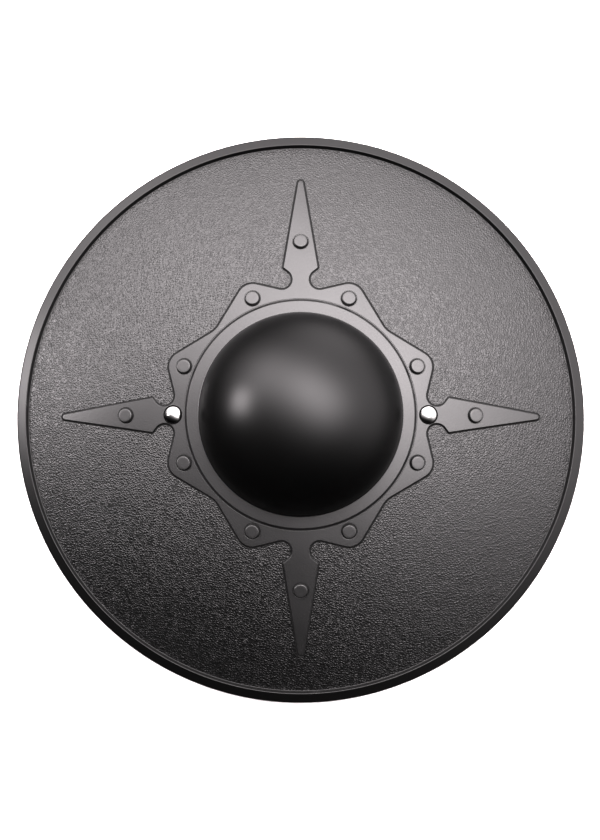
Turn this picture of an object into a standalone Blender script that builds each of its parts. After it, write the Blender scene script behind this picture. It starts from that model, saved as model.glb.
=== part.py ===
"""A round training shield of buckler size, moulded in black plastic.

The body is one moulding: a domed field inside a raised rim, a compass-like plate on it with four spears
and eight lobes, moulded buttons in the place of rivets, and a hollow boss on a low flange. Two steel bolts
beside the boss hold a grip across the back of the hollow. The shield lies face up on its rim, with +Z up
through the boss and the origin on the floor under it. All sizes are in metres, and angles in radians.
"""

import math

import bmesh
import bpy
from mathutils import Matrix, Vector

# Rim
SHIELD_RADIUS = 0.165
RIM_BAND_WIDTH = 0.0052
RIM_BAND_FALL = 0.0022
RIM_STEP_WIDTH = 0.0017
RIM_STEP_RISE = 0.0019
RIM_EDGE_ROUND = 0.0014
RIM_FOOT_WIDTH = 0.0065
RIM_FOOT_ROUND = 0.001

# Field: a bowl of even wall, whose height falls with the square of the radius
FIELD_EDGE_HEIGHT = 0.0065
FIELD_RISE = 0.038
WALL = 0.0045

# Boss and its flange
FLANGE_RADIUS = 0.0658
FLANGE_RISE = 0.0013
DOME_RADIUS = 0.0583
DOME_HEIGHT = 0.050
DOME_WALL = 0.0042
DOME_FILLET = 0.0018

# Raised plate: its outline is a chain of rounds joined by straight tangent lines
PLATE_RISE = 0.001
SPEAR_COUNT = 4
SPEAR_TIP_RADIUS = 0.138
SPEAR_TIP_ROUND = 0.0017
BARB_RADIUS = 0.0852
BARB_HALF_WIDTH = 0.0101
BARB_ROUND = 0.0005
NECK_HALF_WIDTH = 0.005
NOTCH_ROUND = 0.0059
NOTCH_FLOOR_RADIUS = 0.0722
LOBE_ROUND = 0.0091
VALLEY_RADIUS = 0.0695
VALLEY_ROUND = 0.013
PLATE_ARC_STEP = math.radians(22.5)

# Moulded buttons, one on each lobe and one on each spear
BUTTON_RADIUS = 0.0043
BUTTON_RISE = 0.0015
BUTTON_EDGE = 0.0004
LOBE_BUTTON_PITCH = 0.0722
SPEAR_BUTTON_PITCH = 0.1003

# Bolts, their recesses and the pads behind them
BOLT_PITCH = 0.073
BOLT_HEAD_RADIUS = 0.00475
BOLT_HEAD_RISE = 0.0027
BOLT_HEAD_EDGE = 0.0006
BOLT_SHANK_RADIUS = 0.0025
BOLT_CLEARANCE = 0.0003
BOLT_OVERHANG = 0.0015
BOLT_END_CHAMFER = 0.0005
RECESS_CLEARANCE = 0.00085
RECESS_DEPTH = 0.0009
PAD_RADIUS = 0.0135
PAD_RISE = 0.0015
NUT_ACROSS_FLATS = 0.008
NUT_HEIGHT = 0.004
NUT_CHAMFER = 0.0004
NUT_SIDES = 6

# Grip
GRIP_BAR_HALF_LENGTH = 0.043
GRIP_END_LENGTH = 0.015
GRIP_WIDTH = 0.028
GRIP_SWELL = 0.004
GRIP_THICKNESS = 0.024
GRIP_FLOOR_CLEARANCE = 0.007
GRIP_CORNER = 0.0105
FOOT_WIDTH = 0.024
FOOT_THICKNESS = 0.006
FOOT_CORNER = 0.0012

# The gap that touching pieces keep, and how far a joined shape is sunk into its neighbour
SEAT_GAP = 0.0003
SINK = 0.001
MERGE_DISTANCE = 0.000001

# Facets
TURN_STEPS = 72
FIELD_RINGS = 5
DOME_RINGS = 7
HOLLOW_RINGS = 5
BUTTON_STEPS = 14
BOLT_STEPS = 18
BOLT_CAP_RINGS = 4
HOLE_STEPS = 16
GRIP_CORNER_STEPS = 3
GRIP_BEND_STEPS = 4
GRIP_END_SHARES = (0, 0.3, 0.55, 0.75, 0.88)
SHARP_ANGLE = math.radians(32)

FIELD_RADIUS = SHIELD_RADIUS - RIM_BAND_WIDTH - RIM_STEP_WIDTH
QUARTER = math.pi / 2


def field_height(radius):
    """Height of the bare field's upper face above the floor."""
    return FIELD_EDGE_HEIGHT + FIELD_RISE * (1 - (radius / FIELD_RADIUS) ** 2)


def field_slope(radius):
    """How far the field leans outward there, from level."""
    return math.atan(2 * FIELD_RISE * radius / FIELD_RADIUS**2)


def back_height(radius):
    """Height of the field's back face, one wall below its upper face, measured square to it."""
    return field_height(radius) - WALL / math.cos(field_slope(radius))


def flange_height(radius):
    """Height of the flange's upper face, which follows the field at a fixed lift."""
    return field_height(radius) + PLATE_RISE + FLANGE_RISE


def field_radii(inner, outer):
    """Both radii and the field's shared ring radii between them, so that layers on it stay parallel."""
    span = FIELD_RADIUS - FLANGE_RADIUS
    rings = [FLANGE_RADIUS + span * ring / FIELD_RINGS for ring in range(FIELD_RINGS + 1)]
    between = [radius for radius in rings if inner + SINK < radius < outer - SINK]
    return [inner, *between, outer]


def on_field(radius, angle, lift):
    """The place of a piece that stands square to the field: its +Z is the surface's normal."""
    foot = Matrix.Translation((radius, 0, field_height(radius)))
    lean = Matrix.Rotation(field_slope(radius), 4, "Y")
    return Matrix.Rotation(angle, 4, "Z") @ foot @ lean @ Matrix.Translation((0, 0, lift))


def clear_scene():
    for item in list(bpy.data.objects):
        bpy.data.objects.remove(item)


def plain_material(name, colour, roughness, metallic):
    material = bpy.data.materials.new(name)
    material.use_nodes = True
    shader = material.node_tree.nodes["Principled BSDF"]
    shader.inputs["Base Color"].default_value = (*colour, 1)
    shader.inputs["Roughness"].default_value = roughness
    shader.inputs["Metallic"].default_value = metallic
    return material


def named_object(name, shape, material=None):
    """Turns a bmesh into a scene object; its faces look outward and round faces are shaded smooth."""
    bmesh.ops.recalc_face_normals(shape, faces=shape.faces)
    mesh = bpy.data.meshes.new(name)
    shape.to_mesh(mesh)
    shape.free()
    mesh.shade_smooth()
    mesh.set_sharp_from_angle(angle=SHARP_ANGLE)
    if material:
        mesh.materials.append(material)
    item = bpy.data.objects.new(name, mesh)
    bpy.context.scene.collection.objects.link(item)
    return item


def helper_object(name, shape):
    """A shape that only joins, cuts or bounds another one."""
    helper = named_object(name, shape)
    helper.hide_render = True
    helper.display_type = "WIRE"
    return helper


def combine(target, operation, other):
    modifier = target.modifiers.new(other.name, "BOOLEAN")
    modifier.operation = operation
    modifier.solver = "EXACT"
    modifier.object = other


def turned(profile, steps):
    """A solid turned about Z from (radius, height) points, closed on the axis or back to its start.

    Its flats touch the true circle, and the X and Y axes cross flats in the middle.
    """
    half_step = math.pi / steps
    spread = 1 / math.cos(half_step)
    shape = bmesh.new()
    points = [shape.verts.new((radius * spread, 0, height)) for radius, height in profile]
    edges = [shape.edges.new(pair) for pair in zip(points, points[1:])]
    if profile[0][0] > 0:
        edges.append(shape.edges.new((points[-1], points[0])))
    bmesh.ops.rotate(shape, verts=points, matrix=Matrix.Rotation(half_step, 3, "Z"))
    bmesh.ops.spin(
        shape,
        geom=points + edges,
        cent=(0, 0, 0),
        axis=(0, 0, 1),
        angle=2 * math.pi,
        steps=steps,
        use_merge=True,
    )
    bmesh.ops.remove_doubles(shape, verts=shape.verts, dist=MERGE_DISTANCE)
    bmesh.ops.recalc_face_normals(shape, faces=shape.faces)
    return shape


def cylinder(radius, low, high, steps):
    return turned([(0, high), (radius, high), (radius, low), (0, low)], steps)


def gathered(shapes_and_places):
    """One bmesh with each shape moved to its place; the shapes don't touch each other."""
    whole = bmesh.new()
    for shape, place in shapes_and_places:
        shape.transform(place)
        mesh = bpy.data.meshes.new("gathered")
        shape.to_mesh(mesh)
        shape.free()
        whole.from_mesh(mesh)
        bpy.data.meshes.remove(mesh)
    return whole


def dome_profile(radius, height, base, lowest_turn, rings):
    """(radius, height) points of a dome, from its top down to the given turn above its base."""
    turns = [QUARTER - (QUARTER - lowest_turn) * ring / rings for ring in range(rings + 1)]
    points = [(radius * math.cos(turn), base + height * math.sin(turn)) for turn in turns]
    points[0] = (0, base + height)
    return points


def boss_face_profile():
    """Upper face from the dome's top, over the fillet at its foot, to the flange's edge and down it."""
    foot = flange_height(DOME_RADIUS)
    dome = dome_profile(DOME_RADIUS, DOME_HEIGHT, foot, math.asin(DOME_FILLET / DOME_HEIGHT), DOME_RINGS)
    fillet_end = DOME_RADIUS + DOME_FILLET
    fillet_middle = (1 - math.cos(QUARTER / 2)) * DOME_FILLET
    fillet = [(DOME_RADIUS + fillet_middle, foot + fillet_middle), (fillet_end, flange_height(fillet_end))]
    edge = [(FLANGE_RADIUS, flange_height(FLANGE_RADIUS))]
    return dome + fillet + edge


def rim_profile():
    """Round the rim: up its inner step, out over the sloped band, down the side and in under its foot."""
    band_top = FIELD_EDGE_HEIGHT + RIM_STEP_RISE
    edge_height = band_top - RIM_BAND_FALL
    band_end = SHIELD_RADIUS - RIM_EDGE_ROUND
    foot_inner = SHIELD_RADIUS - RIM_FOOT_ROUND - RIM_FOOT_WIDTH
    inner_wall = foot_inner - RIM_FOOT_ROUND
    corner = RIM_EDGE_ROUND * (1 - math.cos(QUARTER / 2))
    return [
        (FIELD_RADIUS + RIM_STEP_WIDTH, band_top),
        (band_end, edge_height),
        (SHIELD_RADIUS - corner, edge_height - corner),
        (SHIELD_RADIUS, edge_height - RIM_EDGE_ROUND),
        (SHIELD_RADIUS, RIM_FOOT_ROUND),
        (SHIELD_RADIUS - RIM_FOOT_ROUND, 0),
        (foot_inner, 0),
        (inner_wall, RIM_FOOT_ROUND),
        (inner_wall - RIM_FOOT_ROUND, back_height(inner_wall - RIM_FOOT_ROUND)),
    ]


def back_profile():
    """The back face, from inside the rim to the top of the hollow in the boss."""
    hollow_radius = DOME_RADIUS - DOME_WALL
    mouth_radius = hollow_radius + DOME_FILLET
    back_start = rim_profile()[-1][0]
    back = [(radius, back_height(radius)) for radius in reversed(field_radii(mouth_radius, back_start))]
    base = flange_height(DOME_RADIUS)
    hollow = dome_profile(hollow_radius, DOME_HEIGHT - DOME_WALL, base, 0, HOLLOW_RINGS)
    mouth_corner = (hollow_radius, back_height(mouth_radius) + DOME_FILLET)
    return back[1:] + [mouth_corner] + hollow[::-1]


def shell():
    """The turned body without its plate: dome, flange, field and rim, with an even wall behind them."""
    field = [(radius, field_height(radius)) for radius in field_radii(FLANGE_RADIUS, FIELD_RADIUS)]
    return turned(boss_face_profile() + field + rim_profile() + back_profile(), TURN_STEPS)


def direction(angle):
    return Vector((math.cos(angle), math.sin(angle)))


def plate_rounds():
    """The (centre, radius) of each round of the plate, counter-clockwise; a hollow one is negative."""
    tip = (Vector((SPEAR_TIP_RADIUS - SPEAR_TIP_ROUND, 0)), SPEAR_TIP_ROUND)
    barb = (Vector((BARB_RADIUS, BARB_HALF_WIDTH - BARB_ROUND)), BARB_ROUND)
    notch_centre = Vector((NOTCH_FLOOR_RADIUS + NOTCH_ROUND, NECK_HALF_WIDTH + NOTCH_ROUND))
    notch = (notch_centre, -NOTCH_ROUND)
    spacing = 2 * math.pi / SPEAR_COUNT
    lobe = (direction(spacing / 4) * LOBE_BUTTON_PITCH, LOBE_ROUND)
    valley = (direction(spacing / 2) * (VALLEY_RADIUS + VALLEY_ROUND), -VALLEY_ROUND)
    side = [barb, notch, lobe]
    mirror = Matrix(((1, 0), (0, -1)))
    far_side = [(Matrix.Rotation(spacing, 2) @ mirror @ centre, size) for centre, size in reversed(side)]
    sector = [tip, *side, valley, *far_side]
    turns = [Matrix.Rotation(spacing * spear, 2) for spear in range(SPEAR_COUNT)]
    return [(turn @ centre, size) for turn in turns for centre, size in sector]


def tangent_normal(first, second):
    """Angle of the outward normal of the straight line that runs from one round to the next."""
    (start, start_size), (end, end_size) = first, second
    way = end - start
    return math.atan2(way.y, way.x) - math.acos((start_size - end_size) / way.length)


def plate_outline():
    """Points round the plate: each round from the line that comes in to the line that leaves."""
    rounds = plate_rounds()
    normals = [tangent_normal(item, rounds[(index + 1) % len(rounds)]) for index, item in enumerate(rounds)]
    outline = []
    for index, (centre, size) in enumerate(rounds):
        arriving = normals[index - 1]
        swing = (normals[index] - arriving) % (2 * math.pi)
        if size < 0:
            swing = -((arriving - normals[index]) % (2 * math.pi))
        steps = max(2, math.ceil(abs(swing) / PLATE_ARC_STEP))
        outline += [centre + direction(arriving + swing * step / steps) * size for step in range(steps + 1)]
    return outline


def plate():
    """The raised plate: a layer of the bowl's own curve, kept only inside the plate's outline."""
    radii = field_radii(FLANGE_RADIUS - SINK, SPEAR_TIP_RADIUS + 2 * SINK)
    upper = [(radius, field_height(radius) + PLATE_RISE) for radius in radii]
    lower = [(radius, field_height(radius) - SINK) for radius in reversed(radii)]
    layer = helper_object("plate_layer", turned(upper + lower, TURN_STEPS))
    block = bmesh.new()
    outline = [block.verts.new((point.x, point.y, 0)) for point in plate_outline()]
    floor = block.faces.new(outline)
    raised = bmesh.ops.extrude_face_region(block, geom=[floor])["geom"]
    top = [item for item in raised if isinstance(item, bmesh.types.BMVert)]
    bmesh.ops.translate(block, verts=top, vec=(0, 0, flange_height(0)))
    kept = helper_object("plate_solid", block)
    combine(kept, "INTERSECT", layer)
    return kept


def buttons():
    """Low round studs with a softened edge, on the lobes and on the spears."""
    profile = [
        (0, BUTTON_RISE),
        (BUTTON_RADIUS - BUTTON_EDGE, BUTTON_RISE),
        (BUTTON_RADIUS, BUTTON_RISE - BUTTON_EDGE),
        (BUTTON_RADIUS, -SINK),
        (0, -SINK),
    ]
    spacing = 2 * math.pi / SPEAR_COUNT
    lobe_angles = [spacing / 4 + spacing / 2 * lobe for lobe in range(2 * SPEAR_COUNT)]
    lobe_places = [(LOBE_BUTTON_PITCH, angle) for angle in lobe_angles]
    spear_places = [(SPEAR_BUTTON_PITCH, spacing * spear) for spear in range(SPEAR_COUNT)]
    places = [on_field(radius, angle, PLATE_RISE) for radius, angle in lobe_places + spear_places]
    shapes = [(turned(profile, BUTTON_STEPS), place) for place in places]
    return helper_object("button_solids", gathered(shapes))


# Levels along a bolt's axis, counted from the plate's face
PAD_LEVEL = -(PLATE_RISE + WALL + PAD_RISE)
FOOT_SEAT_LEVEL = PAD_LEVEL - SEAT_GAP
FOOT_BACK_LEVEL = FOOT_SEAT_LEVEL - FOOT_THICKNESS
NUT_SEAT_LEVEL = FOOT_BACK_LEVEL - SEAT_GAP
NUT_BACK_LEVEL = NUT_SEAT_LEVEL - NUT_HEIGHT
BOLT_END_LEVEL = NUT_BACK_LEVEL - BOLT_OVERHANG
SIDES = {"right": 0, "left": math.pi}


def bolt_place(angle):
    return on_field(BOLT_PITCH, angle, PLATE_RISE)


def at_both_bolts(name, radius, low, high, steps):
    shapes = [(cylinder(radius, low, high, steps), bolt_place(angle)) for angle in SIDES.values()]
    return helper_object(name, gathered(shapes))


def bolt_holes(name, low, high):
    return at_both_bolts(name, BOLT_SHANK_RADIUS + BOLT_CLEARANCE, low, high, HOLE_STEPS)


def shield_body(material):
    """The whole moulding: shell, plate and buttons joined, then the recesses and holes for the bolts."""
    body = named_object("shield_body", shell(), material)
    combine(body, "UNION", plate())
    combine(body, "UNION", buttons())
    combine(body, "UNION", at_both_bolts("bolt_pads", PAD_RADIUS, PAD_LEVEL, -WALL, BOLT_STEPS))
    recess = at_both_bolts(
        "bolt_recesses", BOLT_HEAD_RADIUS + RECESS_CLEARANCE, -RECESS_DEPTH, BOLT_HEAD_RISE, BOLT_STEPS
    )
    combine(body, "DIFFERENCE", recess)
    combine(body, "DIFFERENCE", bolt_holes("body_bolt_holes", PAD_LEVEL - SINK, SINK))
    return body


def bolt(name, angle, material):
    """A domed head that seats in its recess, and a plain shank through wall, grip and nut."""
    seat = -RECESS_DEPTH + SEAT_GAP
    cap_height = BOLT_HEAD_RISE - BOLT_HEAD_EDGE
    cap_radius = (BOLT_HEAD_RADIUS**2 + cap_height**2) / (2 * cap_height)
    cap_turn = math.asin(BOLT_HEAD_RADIUS / cap_radius)
    profile = [(0, seat + BOLT_HEAD_RISE)]
    for ring in range(1, BOLT_CAP_RINGS + 1):
        turn = cap_turn * ring / BOLT_CAP_RINGS
        drop = cap_radius * (1 - math.cos(turn))
        profile.append((cap_radius * math.sin(turn), seat + BOLT_HEAD_RISE - drop))
    profile += [
        (BOLT_HEAD_RADIUS, seat),
        (BOLT_SHANK_RADIUS, seat),
        (BOLT_SHANK_RADIUS, BOLT_END_LEVEL + BOLT_END_CHAMFER),
        (BOLT_SHANK_RADIUS - BOLT_END_CHAMFER, BOLT_END_LEVEL),
        (0, BOLT_END_LEVEL),
    ]
    item = named_object(name, turned(profile, BOLT_STEPS), material)
    item.matrix_world = bolt_place(angle)
    return item


def nut(name, angle, material):
    """A plain hexagon nut with chamfered corners, on the bolt's end."""
    flat_radius = NUT_ACROSS_FLATS / 2
    corner_radius = flat_radius / math.cos(math.pi / NUT_SIDES)
    hexagon = cylinder(flat_radius, NUT_BACK_LEVEL, NUT_SEAT_LEVEL, NUT_SIDES)
    item = named_object(name, hexagon, material)
    rounded = turned(
        [
            (0, NUT_SEAT_LEVEL + SINK),
            (corner_radius - NUT_CHAMFER - SINK, NUT_SEAT_LEVEL + SINK),
            (corner_radius, NUT_SEAT_LEVEL - NUT_CHAMFER),
            (corner_radius, NUT_BACK_LEVEL + NUT_CHAMFER),
            (corner_radius - NUT_CHAMFER - SINK, NUT_BACK_LEVEL - SINK),
            (0, NUT_BACK_LEVEL - SINK),
        ],
        HOLE_STEPS,
    )
    chamfer = helper_object(name + "_chamfer", rounded)
    hole_radius = BOLT_SHANK_RADIUS + BOLT_CLEARANCE
    hole_shape = cylinder(hole_radius, NUT_BACK_LEVEL - SINK, NUT_SEAT_LEVEL + SINK, HOLE_STEPS)
    hole = helper_object(name + "_hole", hole_shape)
    for piece in (item, chamfer, hole):
        piece.matrix_world = bolt_place(angle)
    combine(item, "INTERSECT", chamfer)
    combine(item, "DIFFERENCE", hole)
    return item


def eased(value, start, end):
    """0 before start, 1 after end, and a smooth rise between them."""
    share = min(max((value - start) / (end - start), 0), 1)
    return share * share * (3 - 2 * share)


def mixed(first, second, share):
    return first + (second - first) * share


def grip_section(reach):
    """(width, lower height, upper height, corner round) of the grip at a distance from its middle."""
    axis_place = bolt_place(0)
    seat = axis_place @ Vector((0, 0, FOOT_SEAT_LEVEL))
    lean = field_slope(BOLT_PITCH)
    foot_top = seat.z - (reach - seat.x) * math.tan(lean)
    foot_low = foot_top - FOOT_THICKNESS / math.cos(lean)
    bar_low = GRIP_FLOOR_CLEARANCE
    bar_top = bar_low + GRIP_THICKNESS
    share = eased(reach, GRIP_BAR_HALF_LENGTH, GRIP_BAR_HALF_LENGTH + GRIP_END_LENGTH)
    swell = GRIP_SWELL * (1 - eased(reach, 0, GRIP_BAR_HALF_LENGTH))
    width = mixed(GRIP_WIDTH + swell, FOOT_WIDTH, share)
    past_axis = max(reach - seat.x, 0)
    width *= math.sqrt(max(1 - (2 * past_axis / FOOT_WIDTH) ** 2, 0))
    corner = mixed(GRIP_CORNER, FOOT_CORNER, share)
    return width, mixed(bar_low, foot_low, share), mixed(bar_top, foot_top, share), corner


def grip_reaches():
    """Where the grip's sections stand, from its middle to the round end of a foot."""
    bar = [0, GRIP_BAR_HALF_LENGTH / 2]
    bend_steps = range(GRIP_BEND_STEPS + 1)
    bend = [GRIP_BAR_HALF_LENGTH + GRIP_END_LENGTH * step / GRIP_BEND_STEPS for step in bend_steps]
    axis_reach = (bolt_place(0) @ Vector((0, 0, FOOT_SEAT_LEVEL))).x
    end = [axis_reach + FOOT_WIDTH / 2 * math.sin(QUARTER * share) for share in GRIP_END_SHARES]
    return bar + bend + end


def rounded_section(reach):
    """Points of the rounded rectangle at one place along the grip, in a fixed order."""
    width, low, high, corner = grip_section(abs(reach))
    corner = min(corner, width / 2 - SEAT_GAP, (high - low) / 2 - SEAT_GAP)
    points = []
    for quarter, (side, rise) in enumerate(((1, 1), (-1, 1), (-1, -1), (1, -1))):
        centre_y = side * (width / 2 - corner)
        centre_z = high - corner if rise > 0 else low + corner
        for step in range(GRIP_CORNER_STEPS + 1):
            angle = QUARTER * (quarter + step / GRIP_CORNER_STEPS)
            points.append((reach, centre_y + corner * math.cos(angle), centre_z + corner * math.sin(angle)))
    return points


def grip(material):
    """A bar for one hand, thickest in the middle, whose ends thin into round feet under the bolts."""
    reaches = grip_reaches()
    shape = bmesh.new()
    rings = []
    for reach in [-value for value in reversed(reaches[1:])] + reaches:
        rings.append([shape.verts.new(point) for point in rounded_section(reach)])
    for near, far in zip(rings, rings[1:]):
        for index, point in enumerate(near):
            after = (index + 1) % len(near)
            shape.faces.new((point, near[after], far[after], far[index]))
    shape.faces.new(rings[0])
    shape.faces.new(rings[-1])
    item = named_object("grip", shape, material)
    holes = bolt_holes("grip_bolt_holes", FOOT_BACK_LEVEL - SINK, FOOT_SEAT_LEVEL + SINK)
    combine(item, "DIFFERENCE", holes)
    return item


def main():
    clear_scene()
    body_plastic = plain_material("body_plastic", (0.022, 0.022, 0.023), 0.42, 0)
    grip_plastic = plain_material("grip_plastic", (0.018, 0.018, 0.018), 0.55, 0)
    steel = plain_material("polished_steel", (0.72, 0.72, 0.72), 0.12, 1)
    shield_body(body_plastic)
    grip(grip_plastic)
    for side, angle in SIDES.items():
        bolt("bolt_" + side, angle, steel)
        nut("nut_" + side, angle, steel)


main()
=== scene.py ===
# %% [markdown]
# # A black moulded training shield
# The real shield is one thick plastic moulding with a hollow boss, a grip across the back of the boss, and two
# steel bolts that hold the grip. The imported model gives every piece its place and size. This lesson gives
# each piece the finer form, finish and light that the photograph shows.

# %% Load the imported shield
import math

import bmesh
import bpy
import numpy as np
from mathutils import Matrix, Vector
from mathutils.geometry import delaunay_2d_cdt
from mathutils.kdtree import KDTree


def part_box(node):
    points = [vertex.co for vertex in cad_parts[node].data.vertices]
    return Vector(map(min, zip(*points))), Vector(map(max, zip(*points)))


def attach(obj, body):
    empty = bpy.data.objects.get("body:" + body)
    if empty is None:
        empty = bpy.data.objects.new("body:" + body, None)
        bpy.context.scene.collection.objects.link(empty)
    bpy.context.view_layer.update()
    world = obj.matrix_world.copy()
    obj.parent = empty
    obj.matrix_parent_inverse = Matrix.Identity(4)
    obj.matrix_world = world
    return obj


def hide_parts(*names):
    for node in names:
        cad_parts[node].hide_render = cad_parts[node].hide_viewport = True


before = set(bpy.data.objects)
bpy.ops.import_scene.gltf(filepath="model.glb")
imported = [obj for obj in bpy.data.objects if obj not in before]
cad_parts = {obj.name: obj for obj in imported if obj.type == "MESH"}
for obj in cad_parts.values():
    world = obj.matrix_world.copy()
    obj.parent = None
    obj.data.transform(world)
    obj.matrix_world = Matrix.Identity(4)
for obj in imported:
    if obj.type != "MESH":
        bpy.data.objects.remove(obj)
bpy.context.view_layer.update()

# %% [markdown]
# ## The shield's sizes
# A moulding is drawn from a few sizes: how wide it is, how deep the bowl is, how thick the wall is. The same
# main sizes, in metres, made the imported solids, so the finer skin made here lies on them. The bowl's height falls
# with the square of the radius, which is the gentle curve that a pressed or moulded bowl has.

# %% Sizes of the bowl, rim and boss
MM = 0.001
SHIELD_RADIUS = 165 * MM
RIM_BAND_WIDTH = 5.2 * MM
RIM_BAND_FALL = 2.2 * MM
RIM_STEP_WIDTH = 1.7 * MM
RIM_STEP_RISE = 1.9 * MM
RIM_EDGE_ROUND = 1.4 * MM
RIM_FOOT_WIDTH = 6.5 * MM
RIM_FOOT_ROUND = 1.0 * MM
FIELD_EDGE_HEIGHT = 6.5 * MM
FIELD_RISE = 38 * MM
WALL = 4.5 * MM
PLATE_RISE = 1.0 * MM
FLANGE_RADIUS = 65.8 * MM
FLANGE_RISE = 1.3 * MM
DOME_RADIUS = 58.3 * MM
DOME_HEIGHT = 50 * MM
DOME_WALL = 4.2 * MM
DOME_FILLET = 0.8 * MM
MOUTH_FILLET = 1.8 * MM
FIELD_RADIUS = SHIELD_RADIUS - RIM_BAND_WIDTH - RIM_STEP_WIDTH
QUARTER = math.pi / 2


def field_height(radius):
    return FIELD_EDGE_HEIGHT + FIELD_RISE * (1 - (radius / FIELD_RADIUS) ** 2)


def field_slope(radius):
    return math.atan(2 * FIELD_RISE * radius / FIELD_RADIUS**2)


def back_height(radius):
    return field_height(radius) - WALL / math.cos(field_slope(radius))


def on_field(radius, angle, lift):
    """The place of a piece that stands square to the field."""
    stand = Matrix.Translation((radius, 0, field_height(radius))) @ Matrix.Rotation(field_slope(radius), 4, "Y")
    return Matrix.Rotation(angle, 4, "Z") @ stand @ Matrix.Translation((0, 0, lift))


body_low, body_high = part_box("shield_body")
print("slope at the rim, in degrees:", round(math.degrees(field_slope(FIELD_RADIUS)), 1))
print("packed body, in mm:", [round(side / MM, 1) for side in body_high - body_low])

# %% [markdown]
# The raised work and the bolt stack have sizes of their own. A stack is easiest to think of as levels, measured
# down from the plate's top along the bolt: pad, gap, grip's foot, gap, nut, and the bolt's end past the nut.
# The touching pieces keep a small gap, so that no two surfaces lie in one place.

# %% Sizes of the raised plate, its buttons and the bolts
SPEAR_COUNT = 4
SPEAR_ANGLE = 2 * math.pi / SPEAR_COUNT
SPEAR_TIP_RADIUS = 138 * MM
SPEAR_TIP_ROUND = 1.7 * MM
BARB_RADIUS = 85.2 * MM
BARB_HALF_WIDTH = 10.1 * MM
BARB_ROUND = 0.5 * MM
NECK_HALF_WIDTH = 5.0 * MM
NOTCH_ROUND = 5.9 * MM
NOTCH_FLOOR_RADIUS = 72.2 * MM
LOBE_ROUND = 9.1 * MM
VALLEY_RADIUS = 69.5 * MM
VALLEY_ROUND = 13 * MM
BUTTON_RADIUS = 4.3 * MM
BUTTON_RISE = 1.5 * MM
LOBE_BUTTON_PITCH = 72.2 * MM
SPEAR_BUTTON_PITCH = 100.3 * MM
BOLT_PITCH = 73 * MM
BOLT_HEAD_RADIUS = 4.75 * MM
BOLT_HEAD_RISE = 2.7 * MM
BOLT_SHANK_RADIUS = 2.5 * MM
BOLT_CLEARANCE = 0.3 * MM
BOLT_OVERHANG = 1.5 * MM
RECESS_CLEARANCE = 0.7 * MM
RECESS_DEPTH = 0.9 * MM
PAD_RADIUS = 13.5 * MM
PAD_RISE = 1.5 * MM
NUT_ACROSS_FLATS = 8 * MM
NUT_HEIGHT = 4 * MM
FOOT_THICKNESS = 6 * MM
SEAT_GAP = 0.3 * MM
PAD_LEVEL = -(PLATE_RISE + WALL + PAD_RISE)
FOOT_SEAT_LEVEL = PAD_LEVEL - SEAT_GAP
FOOT_BACK_LEVEL = FOOT_SEAT_LEVEL - FOOT_THICKNESS
NUT_SEAT_LEVEL = FOOT_BACK_LEVEL - SEAT_GAP
NUT_BACK_LEVEL = NUT_SEAT_LEVEL - NUT_HEIGHT
BOLT_END_LEVEL = NUT_BACK_LEVEL - BOLT_OVERHANG
SIDES = {"right": 0, "left": math.pi}
print("bolt length below the plate, in mm:", round(-BOLT_END_LEVEL / MM, 1))

# %% [markdown]
# ## The camera
# The photograph looks almost straight down on the shield, from about two metres with a long lens. The boss
# sits a few pixels above the middle of the outline, which a tilt of about four degrees gives. The camera
# comes first, so that every later step can be looked at from the photograph's place.

# %% Camera at the photograph's viewing angle
LENS_MM = 150
SENSOR_MM = 36
PICTURE_HEIGHT = 840
OUTLINE_RADIUS_PIXELS = 283.25
OUTLINE_HEIGHT = 3.5 * MM
CAMERA_TILT = math.radians(3.7)
AIM_X = -0.37 * MM
AIM_Y = -0.83 * MM

pixels_per_metre = OUTLINE_RADIUS_PIXELS / SHIELD_RADIUS
camera_distance = PICTURE_HEIGHT * LENS_MM / SENSOR_MM / pixels_per_metre
camera = bpy.data.objects.new("camera", bpy.data.cameras.new("camera"))
camera.data.lens = LENS_MM
camera.data.sensor_width = SENSOR_MM
camera.location = (
    AIM_X,
    AIM_Y - camera_distance * math.sin(CAMERA_TILT),
    OUTLINE_HEIGHT + camera_distance * math.cos(CAMERA_TILT),
)
camera.rotation_euler = (CAMERA_TILT, 0, 0)
bpy.context.scene.collection.objects.link(camera)
bpy.context.scene.camera = camera
print("camera distance, in m:", round(camera_distance, 3))

# %% [markdown]
# ## A skin for the moulding
# The body could be cut from solids with Booleans, but a fine skin with soft edges is cleaner as one surface
# that is laid ring by ring. A ring is a closed row of points, and two rings with as many points are bridged
# with quads. Each face carries the number of the finish that it gets.

# %% A surface made of rings
FINISH_COUNT = 6
FIELD_SLOT, RAISED_SLOT, DOME_SLOT, RIM_SLOT, RECESS_SLOT, BACK_SLOT = range(FINISH_COUNT)


class Skin:
    """Points and faces of one closed surface, with a material slot for each face."""

    def __init__(self):
        self.points = []
        self.faces = []
        self.slots = []

    def face(self, corners, slot):
        self.faces.append(tuple(corners))
        self.slots.append(slot)

    def ring(self, points):
        first = len(self.points)
        self.points += [tuple(point) for point in points]
        return list(range(first, len(self.points)))

    def bridge(self, rings, slot):
        for near, far in zip(rings, rings[1:]):
            for index in range(len(near)):
                after = (index + 1) % len(near)
                self.face((near[index], near[after], far[after], far[index]), slot)

    def cap(self, ring, point, slot):
        self.points.append(tuple(point))
        for index in range(len(ring)):
            self.face((ring[index], ring[(index + 1) % len(ring)], len(self.points) - 1), slot)


print("finishes on the moulding:", FINISH_COUNT)

# %% [markdown]
# Rings that don't match, such as the plate's outline and a button's foot, are joined by a patch of triangles
# that keeps every ring's points. It is laid out flat, in plan: even fill points first, then a Delaunay
# triangulation, which makes the plumpest triangles that fit, and last the height of each point.

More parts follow.
